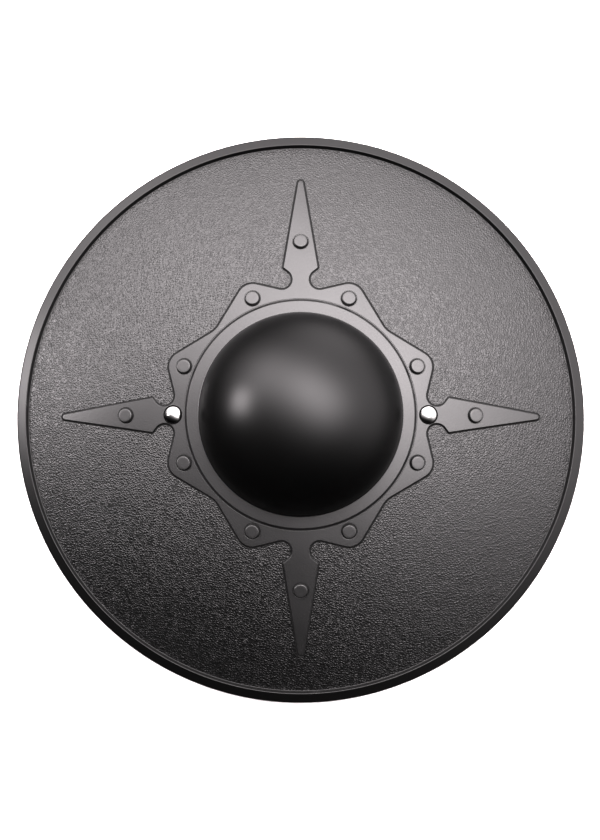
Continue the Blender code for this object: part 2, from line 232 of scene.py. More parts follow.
# %% A patch between rings
JOIN_DISTANCE = 0.002 * MM
PLAN_TOLERANCE = JOIN_DISTANCE * 0.1
FILL_CLEARANCE = 0.6


def inside(points, loop):
    """For each plan point, whether it lies inside the closed loop."""
    x, y = points[:, :1], points[:, 1:2]
    x0, y0 = loop[:, 0], loop[:, 1]
    x1, y1 = np.roll(x0, -1), np.roll(y0, -1)
    crosses = (y0 > y) != (y1 > y)
    run = np.where(y1 == y0, 1, y1 - y0)
    return (crosses & (x < (x1 - x0) * (y - y0) / run + x0)).sum(axis=1) % 2 == 1


def polar_grid(spacing, inner, outer):
    """Plan points in even rings between two radii, each ring turned a little against the last."""
    points = []
    for row in range(1, max(2, round((outer - inner) / spacing))):
        radius = inner + row * spacing
        count = max(6, round(2 * math.pi * radius / spacing))
        turn = 0.5 * (row % 2)
        angles = 2 * math.pi * (np.arange(count) + turn) / count
        points.append(np.stack([radius * np.cos(angles), radius * np.sin(angles)], axis=1))
    return np.concatenate(points)


def fill_points(plans, within, spacing):
    """Even plan points that lie within the patch and not too near any ring."""
    border = np.concatenate(plans)
    tree = KDTree(len(border))
    for index, (x, y) in enumerate(border):
        tree.insert((x, y, 0), index)
    tree.balance()
    fill = polar_grid(spacing, np.hypot(*border.T).min(), np.hypot(*border.T).max())
    fill = fill[within(fill)]
    return np.array([point for point in fill if tree.find((*point, 0))[2] > spacing * FILL_CLEARANCE])


def lay_patch(skin, outer, holes, spacing, height, slot):
    """Triangles between one outer ring and the holes, with fill points that follow the height."""
    borders = [outer, *holes]
    plans = [np.array([skin.points[index][:2] for index in ring]) for ring in borders]

    def within(points):
        result = inside(points, plans[0])
        for hole in plans[1:]:
            result &= ~inside(points, hole)
        return result

    fill = fill_points(plans, within, spacing)
    numbers = [index for ring in borders for index in ring]
    numbers += skin.ring([(x, y, height(math.hypot(x, y))) for x, y in fill])
    edges = []
    for ring in plans:
        start = len(edges)
        edges += [(start + index, start + (index + 1) % len(ring)) for index in range(len(ring))]
    flat = [Vector(point) for point in np.concatenate([*plans, fill])]
    found = delaunay_2d_cdt(flat, edges, [], 0, PLAN_TOLERANCE)
    new_points, triangles, sources = found[0], found[2], found[3]
    middles = np.array([np.mean([new_points[corner] for corner in face], axis=0) for face in triangles])
    for face, keep in zip(triangles, within(middles)):
        if keep:
            skin.face((numbers[sources[corner][0]] for corner in face), slot)


print("fill points in a disc ten spacings wide:", len(polar_grid(1, 0, 5)))

# %% [markdown]
# ## Soft corners and turned forms
# No moulded corner is sharp: molten plastic needs a round to flow past. A profile is written as a few corners,
# each with the size of its round, and every corner becomes a short smooth curve. Turning the profile about the
# shield's axis gives rings, which is what a lathe or Blender's Screw modifier would do, but keeps the rings at
# hand for the patches.

# %% Softened profiles, turned about the shield's axis
def softened(corners, steps=4):
    """A profile of (radius, height, round) corners, with each corner turned into a short arc."""
    places = [Vector(corner[:2]) for corner in corners]
    result = [tuple(places[0])]
    for index in range(1, len(corners) - 1):
        here, size = places[index], corners[index][2]
        arriving = (places[index - 1] - here).normalized()
        leaving = (places[index + 1] - here).normalized()
        bend = math.pi - arriving.angle(leaving)
        reach = size * math.tan(bend / 2)
        for step in range(steps + 1):
            share = step / steps
            start, end = here + arriving * reach, here + leaving * reach
            result.append(tuple(start * (1 - share) ** 2 + here * 2 * share * (1 - share) + end * share**2))
    return result + [tuple(places[-1])]


def turned_rings(skin, profile, count):
    angles = [2 * math.pi * index / count for index in range(count)]
    return [
        skin.ring([(radius * math.cos(angle), radius * math.sin(angle), height) for angle in angles])
        for radius, height in profile
    ]


print("points of one softened corner:", len(softened([(0, 0, 0), (1, 0, 0.2), (1, 1, 0)])) - 2)

# %% [markdown]
# ## The boss
# The boss is a smooth dome a little lower than half a ball, so that a fist fits behind it. It rises from a
# low flat flange through a small fillet, which is the thin soft line round its foot. A turned profile is the
# natural way to make both, and the rings stand closest where the curve is tightest. The sides of every raised
# form lean outward, so that the moulding leaves its mould. A side that leans to the light is pale and one that
# leans away is black, as the photograph shows. A very shallow groove runs round each foot.

# %% Dome, fillet and flange
DOME_STEPS = 256
DOME_RINGS = 44
FILLET_RINGS = 6
DOME_FINISH_RINGS = DOME_RINGS + 3
FLANGE_EDGE_LEAN = 1.2 * MM
GROOVE_WIDTH = 0.3 * MM
GROOVE_DEPTH = 0.22 * MM
GROOVE_ROUND = 0.08 * MM
GROOVE_LIP_WIDTH = 0.16 * MM
GROOVE_LIP_ROUND = 0.06 * MM
GROOVE_LIP_END = 0.3 * MM
SHOULDER_ROUND = 0.3 * MM


def plate_height(radius):
    return field_height(radius) + PLATE_RISE


def flange_height(radius):
    return plate_height(radius) + FLANGE_RISE


def dome_profile(radius, height, base, lowest_turn, rings):
    turns = [QUARTER - (QUARTER - lowest_turn) * ring / rings for ring in range(1, rings + 1)]
    return [(radius * math.cos(turn), base + height * math.sin(turn)) for turn in turns]


def boss_profile():
    """From just beside the dome's top, over its foot and the flange, to the flange's edge on the plate."""
    base = flange_height(DOME_RADIUS)
    lean = field_slope(DOME_RADIUS)
    centre_radius = DOME_RADIUS + DOME_FILLET
    touch = centre_radius - DOME_FILLET * math.sin(lean)
    centre_height = flange_height(touch) + DOME_FILLET * math.cos(lean)
    lowest = math.asin((centre_height - base) / DOME_HEIGHT)
    profile = dome_profile(DOME_RADIUS, DOME_HEIGHT, base, lowest, DOME_RINGS)
    for ring in range(1, FILLET_RINGS + 1):
        turn = math.pi + (QUARTER - lean) * ring / FILLET_RINGS
        profile.append((centre_radius + DOME_FILLET * math.cos(turn), centre_height + DOME_FILLET * math.sin(turn)))
    middle = (touch + FLANGE_RADIUS) / 2
    shoulder = FLANGE_RADIUS - FLANGE_EDGE_LEAN / 2
    foot = FLANGE_RADIUS + FLANGE_EDGE_LEAN / 2
    far = foot + GROOVE_WIDTH
    lip = far + GROOVE_LIP_WIDTH
    end = far + GROOVE_LIP_END
    edge = softened(
        [
            (middle, flange_height(middle), 0),
            (shoulder, flange_height(shoulder), SHOULDER_ROUND),
            (foot, plate_height(foot) - GROOVE_DEPTH, GROOVE_ROUND),
            (far, plate_height(far) - GROOVE_DEPTH, GROOVE_ROUND),
            (lip, plate_height(lip), GROOVE_LIP_ROUND),
            (end, plate_height(end), 0),
        ]
    )
    return profile, edge


body = Skin()
dome_points, flange_points = boss_profile()
dome_rings = turned_rings(body, dome_points, DOME_STEPS)
flange_rings = turned_rings(body, flange_points, DOME_STEPS)
body.cap(dome_rings[0], (0, 0, flange_height(DOME_RADIUS) + DOME_HEIGHT), DOME_SLOT)
body.bridge(dome_rings[:DOME_FINISH_RINGS], DOME_SLOT)
body.bridge(dome_rings[DOME_FINISH_RINGS - 1 :] + flange_rings, RAISED_SLOT)
plate_inner_ring = flange_rings[-1]
print("boss rings:", len(dome_rings) + len(flange_rings))

# %% [markdown]
# ## The raised plate
# The plate copies forged strapwork: four barbed spears and eight lobes, raised a millimetre in the same
# moulding. Its outline is a chain of rounds, hollow ones at the notches and valleys, joined by straight lines
# that touch them. Growing or shrinking every round by the same amount gives a parallel outline, so the soft
# edge of the plate is a few parallel outlines at different heights.

# %% Outline of the plate as a chain of rounds
ARC_STEP = math.radians(9)
LINE_STEP = 1.7 * MM


def direction(angle):
    return Vector((math.cos(angle), math.sin(angle)))


def plate_rounds():
    """(centre, radius) of each round, counter-clockwise; a hollow one is negative."""
    tip = (Vector((SPEAR_TIP_RADIUS - SPEAR_TIP_ROUND, 0)), SPEAR_TIP_ROUND)
    barb = (Vector((BARB_RADIUS, BARB_HALF_WIDTH - BARB_ROUND)), BARB_ROUND)
    notch = (Vector((NOTCH_FLOOR_RADIUS + NOTCH_ROUND, NECK_HALF_WIDTH + NOTCH_ROUND)), -NOTCH_ROUND)
    lobe = (direction(SPEAR_ANGLE / 4) * LOBE_BUTTON_PITCH, LOBE_ROUND)
    valley = (direction(SPEAR_ANGLE / 2) * (VALLEY_RADIUS + VALLEY_ROUND), -VALLEY_ROUND)
    side = [barb, notch, lobe]
    mirror = Matrix(((1, 0), (0, -1)))
    far_side = [(Matrix.Rotation(SPEAR_ANGLE, 2) @ mirror @ centre, size) for centre, size in reversed(side)]
    sector = [tip, *side, valley, *far_side]
    turns = [Matrix.Rotation(SPEAR_ANGLE * spear, 2) for spear in range(SPEAR_COUNT)]
    return [(turn @ centre, size) for turn in turns for centre, size in sector]


def tangent_normal(first, second):
    (start, start_size), (end, end_size) = first, second
    way = end - start
    return math.atan2(way.y, way.x) - math.acos((start_size - end_size) / way.length)


def plate_outline(growth):
    """Points of the outline grown outward; every growth gives as many points, one beside another."""
    rounds = plate_rounds()
    normals = [tangent_normal(item, rounds[(index + 1) % len(rounds)]) for index, item in enumerate(rounds)]
    outline = []
    for index, (centre, size) in enumerate(rounds):
        arriving = normals[index - 1]
        swing = (normals[index] - arriving) % (2 * math.pi)
        if size < 0:
            swing = -((arriving - normals[index]) % (2 * math.pi))
        steps = max(3, math.ceil(abs(swing) / ARC_STEP))
        arc = [centre + direction(arriving + swing * step / steps) * (size + growth) for step in range(steps + 1)]
        next_centre, next_size = rounds[(index + 1) % len(rounds)]
        leaving = direction(normals[index])
        line_start, line_end = centre + leaving * size, next_centre + leaving * next_size
        pieces = max(1, round((line_end - line_start).length / LINE_STEP))
        shift = leaving * growth
        line = [line_start.lerp(line_end, piece / pieces) + shift for piece in range(1, pieces)]
        outline += arc + line
    return outline


print("rounds in the plate's outline:", len(plate_rounds()))

# %% [markdown]
# The plate's side leans outward and ends in a very shallow groove. Each pair below is how far the outline is
# grown, in millimetres, and the height there, as a share of the plate's rise or of the groove's depth.

# %% The plate's soft edge, laid from its top down into the groove and up to the field
EDGE_FALL = [(-0.46, 1.0), (-0.38, 0.98), (-0.29, 0.9), (0.32, 0.1), (0.4, -0.04)]
GROOVE_FALL = [(0.5, -0.8), (0.6, -1.0), (0.7, -0.7), (0.82, 0.0)]
PLATE_EDGE = [(growth * MM, share * PLATE_RISE) for growth, share in EDGE_FALL]
PLATE_EDGE += [(growth * MM, share * GROOVE_DEPTH) for growth, share in GROOVE_FALL]

edge_rings = []
for growth, lift in PLATE_EDGE:
    outline = plate_outline(growth)
    edge_rings.append(body.ring([(x, y, field_height(math.hypot(x, y)) + lift) for x, y in outline]))
body.bridge(edge_rings[:-1], RAISED_SLOT)
body.bridge(edge_rings[-2:], FIELD_SLOT)
print("points round the plate:", len(edge_rings[0]))

# %% [markdown]
# ## Buttons and bolt recesses
# The twelve buttons stand for rivets and are part of the moulding: flat tops, a softened edge and a short side
# that leans outward. The two bolt heads sit in shallow round recesses. Each one is a stack of small rings round
# its own axis, which stands square to the bowl, and its outermost ring lies exactly on the plate.

# %% Buttons and recesses
BUTTON_STEPS = 36
BUTTON_PROFILE = [
    (BUTTON_RADIUS + 0.66 * MM, 0),
    (BUTTON_RADIUS + 0.56 * MM, -0.4 * GROOVE_DEPTH),
    (BUTTON_RADIUS + 0.46 * MM, -1.2 * GROOVE_DEPTH),
    (BUTTON_RADIUS + 0.24 * MM, -1.4 * GROOVE_DEPTH),
    (BUTTON_RADIUS + 0.12 * MM, -0.6 * GROOVE_DEPTH),
    (BUTTON_RADIUS - 0.22 * MM, 0.6 * BUTTON_RISE),
    (BUTTON_RADIUS - 0.36 * MM, 0.8 * BUTTON_RISE),
    (BUTTON_RADIUS - 0.58 * MM, 0.94 * BUTTON_RISE),
    (BUTTON_RADIUS - 0.9 * MM, BUTTON_RISE),
    (BUTTON_RADIUS * 0.5, BUTTON_RISE),
]
RECESS_RADIUS = BOLT_HEAD_RADIUS + RECESS_CLEARANCE
RECESS_PROFILE = [
    (RECESS_RADIUS + 0.1 * MM, 0),
    (RECESS_RADIUS + 0.02 * MM, -0.04 * MM),
    (RECESS_RADIUS, -0.15 * MM),
    (RECESS_RADIUS - 0.03 * MM, -RECESS_DEPTH + 0.15 * MM),
    (RECESS_RADIUS - 0.15 * MM, -RECESS_DEPTH),
    (BOLT_SHANK_RADIUS + BOLT_CLEARANCE, -RECESS_DEPTH),
    (BOLT_SHANK_RADIUS + BOLT_CLEARANCE, PAD_LEVEL),
]


def local_ring(skin, place, radius, level, count, surface=None):
    """A ring round a piece's own axis; with a surface height, its points drop on to that surface."""
    angles = [2 * math.pi * index / count for index in range(count)]
    points = [place @ Vector((radius * math.cos(angle), radius * math.sin(angle), level)) for angle in angles]
    if surface:
        points = [(x, y, surface(math.hypot(x, y))) for x, y, _ in points]
    return skin.ring(points)


def button(skin, radius, angle):
    place = on_field(radius, angle, PLATE_RISE)
    foot = local_ring(skin, place, *BUTTON_PROFILE[0], BUTTON_STEPS, plate_height)
    rest = [local_ring(skin, place, size, level, BUTTON_STEPS) for size, level in BUTTON_PROFILE[1:]]
    skin.bridge([foot, *rest], RAISED_SLOT)
    skin.cap(rest[-1], place @ Vector((0, 0, BUTTON_RISE)), RAISED_SLOT)
    return foot


def recess(skin, angle):
    """The recess and the bolt's hole below it; gives the ring on the plate and the one at the back."""
    place = on_field(BOLT_PITCH, angle, PLATE_RISE)
    foot = local_ring(skin, place, *RECESS_PROFILE[0], BUTTON_STEPS, plate_height)
    rest = [local_ring(skin, place, size, level, BUTTON_STEPS) for size, level in RECESS_PROFILE[1:]]
    skin.bridge([foot, *rest], RECESS_SLOT)
    return foot, rest[-1]


PLATE_SPACING = 2.2 * MM
button_rings = [button(body, LOBE_BUTTON_PITCH, SPEAR_ANGLE * (0.25 + lobe / 2)) for lobe in range(2 * SPEAR_COUNT)]
button_rings += [button(body, SPEAR_BUTTON_PITCH, SPEAR_ANGLE * spear) for spear in range(SPEAR_COUNT)]
recess_rings = [recess(body, angle) for angle in SIDES.values()]
plate_holes = [plate_inner_ring, *button_rings, *[front for front, _ in recess_rings]]
lay_patch(body, edge_rings[0], plate_holes, PLATE_SPACING, plate_height, RAISED_SLOT)
print("buttons:", len(button_rings))

# %% [markdown]
# ## The field and the rim
# Outside the plate the bowl runs on to a raised rim: a short step up, a band that slopes outward, a rounded
# edge and a flat foot that the shield lies on. The rim is turned like the boss, and the field is the patch
# between the plate's foot and the rim's first ring.

# %% Field, rim and foot
RIM_STEPS = 320
FIELD_SPACING = 2.5 * MM
FIELD_END_RINGS = 3
RIM_END_RINGS = 24
FIELD_END_GAP = 0.8 * MM
FIELD_CORNER_ROUND = 0.4 * MM
RIM_STEP_ROUND = 0.5 * MM
BACK_CORNER_ROUND = 0.8 * MM
BACK_END_GAP = 2 * MM


def rim_profile():
    band_top = FIELD_EDGE_HEIGHT + RIM_STEP_RISE
    edge_height = band_top - RIM_BAND_FALL
    foot_inner = SHIELD_RADIUS - RIM_FOOT_ROUND - RIM_FOOT_WIDTH
    inner_wall = foot_inner - RIM_FOOT_ROUND
    back_start = inner_wall - RIM_FOOT_ROUND
    back_end = back_start - BACK_END_GAP
    field_end = FIELD_RADIUS - FIELD_END_GAP
    edge_slope = RIM_BAND_FALL / (RIM_BAND_WIDTH - RIM_EDGE_ROUND)
    corner = edge_height - RIM_EDGE_ROUND * edge_slope
    return softened(
        [
            (field_end, field_height(field_end), 0),
            (FIELD_RADIUS, FIELD_EDGE_HEIGHT, FIELD_CORNER_ROUND),
            (FIELD_RADIUS + RIM_STEP_WIDTH, band_top, RIM_STEP_ROUND),
            (SHIELD_RADIUS, corner, RIM_EDGE_ROUND),
            (SHIELD_RADIUS, 0, RIM_FOOT_ROUND),
            (inner_wall, 0, RIM_FOOT_ROUND),
            (back_start, back_height(back_start), BACK_CORNER_ROUND),
            (back_end, back_height(back_end), 0),
        ],
        steps=6,
    )


rim_rings = turned_rings(body, rim_profile(), RIM_STEPS)
lay_patch(body, rim_rings[0], [edge_rings[-1]], FIELD_SPACING, field_height, FIELD_SLOT)
body.bridge(rim_rings[:FIELD_END_RINGS], FIELD_SLOT)
body.bridge(rim_rings[FIELD_END_RINGS - 1 : RIM_END_RINGS], RIM_SLOT)
body.bridge(rim_rings[RIM_END_RINGS - 1 :], BACK_SLOT)
print("rim rings:", len(rim_rings))

# %% [markdown]
# ## The back
# The back is plain: an even wall below the field, two round pads where the grip's feet are bolted on, and the
# hollow of the boss. The photograph doesn't show it, so nothing is added that the moulding doesn't need.

# %% Back face, pads and hollow
HOLLOW_STEPS = 128
HOLLOW_RINGS = 22
BACK_SPACING = 4.5 * MM
PAD_FOOT_ROUND = 0.4 * MM
PAD_EDGE_ROUND = 0.3 * MM


def pad(skin, angle, hole_ring):
    """A round pad on the back, flat where the grip's foot seats, with the bolt's hole in it."""
    place = on_field(BOLT_PITCH, angle, PLATE_RISE)
    wall_level = -PLATE_RISE - WALL
    foot = local_ring(skin, place, PAD_RADIUS + PAD_FOOT_ROUND, wall_level, BUTTON_STEPS, back_height)
    levels = [(PAD_RADIUS, wall_level - PAD_FOOT_ROUND), (PAD_RADIUS, PAD_LEVEL + PAD_EDGE_ROUND)]
    levels += [(PAD_RADIUS - PAD_EDGE_ROUND, PAD_LEVEL)]
    rest = [local_ring(skin, place, size, level, BUTTON_STEPS) for size, level in levels]
    skin.bridge([foot, *rest, hole_ring], BACK_SLOT)
    return foot


pad_rings = [pad(body, angle, back) for angle, (_, back) in zip(SIDES.values(), recess_rings)]
hollow_radius = DOME_RADIUS - DOME_WALL
mouth_radius = hollow_radius + MOUTH_FILLET
hollow_base = flange_height(DOME_RADIUS)
mouth_points = softened(
    [
        (mouth_radius + MM, back_height(mouth_radius + MM), 0),
        (hollow_radius, back_height(hollow_radius), MOUTH_FILLET),
        (hollow_radius, hollow_base, 0),
    ],
    steps=6,
)
hollow_points = dome_profile(hollow_radius, DOME_HEIGHT - DOME_WALL, hollow_base, 0, HOLLOW_RINGS)[:-1]
hollow_rings = turned_rings(body, mouth_points + hollow_points[::-1], HOLLOW_STEPS)
body.bridge(hollow_rings, BACK_SLOT)
body.cap(hollow_rings[-1], (0, 0, hollow_base + DOME_HEIGHT - DOME_WALL), BACK_SLOT)
lay_patch(body, rim_rings[-1], [hollow_rings[0], *pad_rings], BACK_SPACING, back_height, BACK_SLOT)
print("points in the skin:", len(body.points))

# %% [markdown]
# ## From a skin to a piece
# Every piece goes the same way into the scene: points that lie in one place are joined, the faces are turned
# outward, and open edges are counted, because a closed mesh has none. Smooth shading with sharp edges kept,
# and normals weighted by face size, make the flat tops look flat and the rounds look round.

# %% Skin to object
SMOOTH_ANGLE = math.radians(40)


def finish_piece(name, mesh_shape, materials, replaced):
    """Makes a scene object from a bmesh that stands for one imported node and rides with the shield."""
    bmesh.ops.remove_doubles(mesh_shape, verts=mesh_shape.verts, dist=JOIN_DISTANCE)
    bmesh.ops.recalc_face_normals(mesh_shape, faces=mesh_shape.faces)
    open_edges = sum(not edge.is_manifold for edge in mesh_shape.edges)
    mesh = bpy.data.meshes.new(name)
    mesh_shape.to_mesh(mesh)
    mesh_shape.free()
    mesh.shade_smooth()
    mesh.set_sharp_from_angle(angle=SMOOTH_ANGLE)
    piece = bpy.data.objects.new(name, mesh)
    for material in materials:
        mesh.materials.append(material)
    bpy.context.scene.collection.objects.link(piece)
    even = piece.modifiers.new("even_normals", "WEIGHTED_NORMAL")
    even.keep_sharp = True
    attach(piece, "root")
    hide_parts(replaced)
    print(name, "faces:", len(mesh.polygons), "open edges:", open_edges)
    return piece


def skin_to_bmesh(skin):
    mesh = bpy.data.meshes.new("skin")
    mesh.from_pydata(skin.points, [], skin.faces)
    mesh.polygons.foreach_set("material_index", skin.slots)
    shape = bmesh.new()
    shape.from_mesh(mesh)
    bpy.data.meshes.remove(mesh)
    return shape


print("faces in the body's skin:", len(body.faces))

# %% [markdown]
# ## Shared surface effects
# Moulded plastic is never even. The mould leaves a fine grain, handling polishes the high edges, and cloth and
# gloves leave faint hairlines. Each effect is a node group that gives only a mask, a height or a roughness, so
# every finish can use it in its own measure. All of them work from the surface's own place in metres, so a cell
# of the grain has a real size. First come a few helpers that keep node trees short to write.

# %% Helpers for node trees
def add_node(tree, kind, inputs=None, **settings):
    """A new node with its settings; each input gets a value, or a link where the value is a socket."""
    node = tree.nodes.new("ShaderNode" + kind)
    for name, value in settings.items():
        setattr(node, name, value)
    for name, value in (inputs or {}).items():
        if isinstance(value, bpy.types.NodeSocket):
            tree.links.new(value, node.inputs[name])
        else:
            node.inputs[name].default_value = value
    return node


def calculate(tree, operation, first, second=0.0, third=0.0):
    node = add_node(tree, "Math", {0: first, 1: second, 2: third}, operation=operation)
    return node.outputs[0]


def remap(tree, value, low, high, to_low=0.0, to_high=1.0):
    limits = {"Value": value, "From Min": low, "From Max": high, "To Min": to_low, "To Max": to_high}
    return add_node(tree, "MapRange", limits, interpolation_type="SMOOTHSTEP").outputs[0]


def effect_group(name, inputs, outputs):
    """An empty node group with float inputs and outputs, and the two nodes that hold its ends."""
    tree = bpy.data.node_groups.new(name, "ShaderNodeTree")
    for label, value in inputs.items():
        tree.interface.new_socket(label, in_out="INPUT", socket_type="NodeSocketFloat").default_value = value
    for label in outputs:
        tree.interface.new_socket(label, in_out="OUTPUT", socket_type="NodeSocketFloat")
    return tree, tree.nodes.new("NodeGroupInput"), tree.nodes.new("NodeGroupOutput")


def place_over(tree, size):
    """The surface's place, counted in cells of the given size."""
    where = add_node(tree, "TexCoord").outputs["Object"]
    return add_node(tree, "VectorMath", {0: where, "Scale": 1 / size}, operation="SCALE").outputs[0]


NODE_HELPERS = (add_node, calculate, remap, effect_group, place_over)
print("helpers for node trees:", ", ".join(helper.__name__ for helper in NODE_HELPERS))

# %% [markdown]
# The grain of the field is etched into the mould and looks like leather: rounded pebbles a little over a
# millimetre wide. A Voronoi texture gives the distance to each pebble's edge, a noise bends the cells so that
# they don't look cut, and each pebble gets its own height.

# %% Grain of the mould
GRAIN_SIZE = 1.3 * MM
PEBBLE_ROUND = 0.32
PEBBLE_STEP_SHARE = 0.45
FINE_GRAIN_SHARE = 0.5


def grain_group():
    """Height, in millimetres, of a leather-like mould grain: pebbles of mixed height with creases between."""
    tree, start, end = effect_group("mould_grain", {"Relief": 1.0}, ["Height"])
    cells = place_over(tree, GRAIN_SIZE)
    sway = add_node(tree, "TexNoise", {"Vector": cells, "Scale": 0.9, "Detail": 2.0}).outputs["Color"]
    swayed = add_node(tree, "VectorMath", {0: sway, 1: (0.5, 0.5, 0.5), 2: cells}, operation="MULTIPLY_ADD").outputs[0]
    pebbles = add_node(tree, "TexVoronoi", {"Vector": swayed, "Scale": 1.0}, feature="DISTANCE_TO_EDGE").outputs[0]
    heights = add_node(tree, "TexVoronoi", {"Vector": swayed, "Scale": 1.0}, feature="SMOOTH_F1").outputs["Color"]
    tone = add_node(tree, "SeparateColor", {"Color": heights}).outputs[0]
    rounded = remap(tree, pebbles, 0.0, PEBBLE_ROUND)
    uneven = calculate(tree, "MULTIPLY_ADD", tone, PEBBLE_STEP_SHARE, rounded)
    fine = add_node(tree, "TexNoise", {"Vector": cells, "Scale": 3.2, "Detail": 2.0}).outputs["Fac"]
    total = calculate(tree, "MULTIPLY_ADD", fine, FINE_GRAIN_SHARE, uneven)
    tree.links.new(calculate(tree, "MULTIPLY", total, start.outputs["Relief"]), end.inputs["Height"])
    return tree


EFFECTS = {"grain": grain_group()}
print("grain size, in mm:", round(GRAIN_SIZE / MM, 2))

# %% [markdown]
# Hands, gloves and cloth change the surface in three ways: high edges are polished, fine hairlines cross it,
# and the gloss wanders a little. Pointiness finds the edges, stretched noise gives the hairlines, and two sizes
# of noise give the gloss.

# %% Worn edges, hairlines and uneven gloss
WEAR_PATCH_SIZE = 4 * MM
GLOSS_CLOUD_SIZE = 45 * MM
GLOSS_SPECK_SIZE = 1.2 * MM
# The turn of each set of hairlines, in radians, and how fast its noise changes along each axis
HAIRLINE_SETS = ((0.5, (60.0, 1900.0, 60.0)), (-0.9, (75.0, 2300.0, 75.0)))


def wear_group():
    """Mask of the high edges that hands and gloves polish, broken up by noise."""
    tree, start, end = effect_group("edge_wear", {"Start": 0.52, "Full": 0.6}, ["Mask"])
    sharp = add_node(tree, "NewGeometry").outputs["Pointiness"]
    limits = {"Value": sharp, "From Min": start.outputs["Start"], "From Max": start.outputs["Full"]}
    edges = add_node(tree, "MapRange", limits, interpolation_type="SMOOTHSTEP").outputs[0]
    where = place_over(tree, WEAR_PATCH_SIZE)
    patches = add_node(tree, "TexNoise", {"Vector": where, "Scale": 1.0, "Detail": 4.0}).outputs["Fac"]
    broken = remap(tree, patches, 0.35, 0.65, 0.25, 1.0)
    tree.links.new(calculate(tree, "MULTIPLY", edges, broken), end.inputs["Mask"])
    return tree


def hairline_group():
    """Mask of faint hairlines: long thin streaks in two directions."""
    tree, start, end = effect_group("hairlines", {"Amount": 1.0}, ["Mask"])
    where = add_node(tree, "TexCoord").outputs["Object"]
    streaks = []
    for turn, stretch in HAIRLINE_SETS:
        turned = add_node(tree, "VectorRotate", {"Vector": where, "Angle": turn}, rotation_type="Z_AXIS").outputs[0]
        pulled = add_node(tree, "VectorMath", {0: turned, 1: stretch}, operation="MULTIPLY").outputs[0]
        noise = add_node(tree, "TexNoise", {"Vector": pulled, "Scale": 1.0, "Detail": 1.0}).outputs["Fac"]
        streaks.append(remap(tree, noise, 0.68, 0.78))
    both = calculate(tree, "MAXIMUM", *streaks)
    tree.links.new(calculate(tree, "MULTIPLY", both, start.outputs["Amount"]), end.inputs["Mask"])
    return tree


def gloss_group():
    """Roughness that wanders a little round its middle value, in broad clouds and in fine specks."""
    tree, start, end = effect_group("uneven_gloss", {"Middle": 0.5, "Spread": 0.1}, ["Roughness"])
    clouds, specks = place_over(tree, GLOSS_CLOUD_SIZE), place_over(tree, GLOSS_SPECK_SIZE)
    broad = add_node(tree, "TexNoise", {"Vector": clouds, "Detail": 3.0, "Scale": 1.0}).outputs[0]
    fine = add_node(tree, "TexNoise", {"Vector": specks, "Detail": 2.0, "Scale": 1.0}).outputs[0]
    mixed = calculate(tree, "MULTIPLY_ADD", broad, 0.6, calculate(tree, "MULTIPLY", fine, 0.4))
    centred = calculate(tree, "SUBTRACT", mixed, 0.5)
    swing = calculate(tree, "MULTIPLY", centred, start.outputs["Spread"])
    tree.links.new(calculate(tree, "ADD", start.outputs["Middle"], swing), end.inputs["Roughness"])
    return tree


EFFECTS |= {"wear": wear_group(), "hairlines": hairline_group(), "gloss": gloss_group()}
print("shared effects:", ", ".join(EFFECTS))

# %% [markdown]
# ## The finishes
# The moulding is one black plastic with finishes that the mould gave it: a pebbled field, satin raised work, a
# glossy boss, a smooth rim and a plain back. The bolt recesses get a near-black, barely mirroring finish that is
# painted shade: it darkens them as the shade of a deeper hollow would. They differ only in colour, gloss, how
# strongly they mirror, and how deep their grain is, so one function makes them all. Its base colour is nearly
# black, and almost everything that is seen on it is reflected light.

# %% Black plastic
HAIRLINES_ON_PLASTIC = 0.07
HAIRLINE_ROUGHNESS = 0.08
WORN_ROUGHNESS = -0.12
MOTTLE_SIZE = 30 * MM
MOTTLE_GAIN = 1.25
FINE_TEXTURE_SIZE = 0.9 * MM


def use_effect(tree, effect, output, **inputs):
    node = tree.nodes.new("ShaderNodeGroup")
    node.node_tree = EFFECTS[effect]
    for name, value in inputs.items():
        node.inputs[name].default_value = value
    return node.outputs[output]


def blend_colour(tree, mask, first, second):
    """Between two colours by a mask; the first may be a socket."""
    colours = {0: mask, 6: first if isinstance(first, bpy.types.NodeSocket) else (*first, 1), 7: (*second, 1)}
    return add_node(tree, "Mix", colours, data_type="RGBA").outputs[2]


def bumped(tree, height, distance, below=None):
    inputs = {"Height": height, "Distance": distance, "Strength": 1.0}
    if below:
        inputs["Normal"] = below
    return add_node(tree, "Bump", inputs).outputs["Normal"]


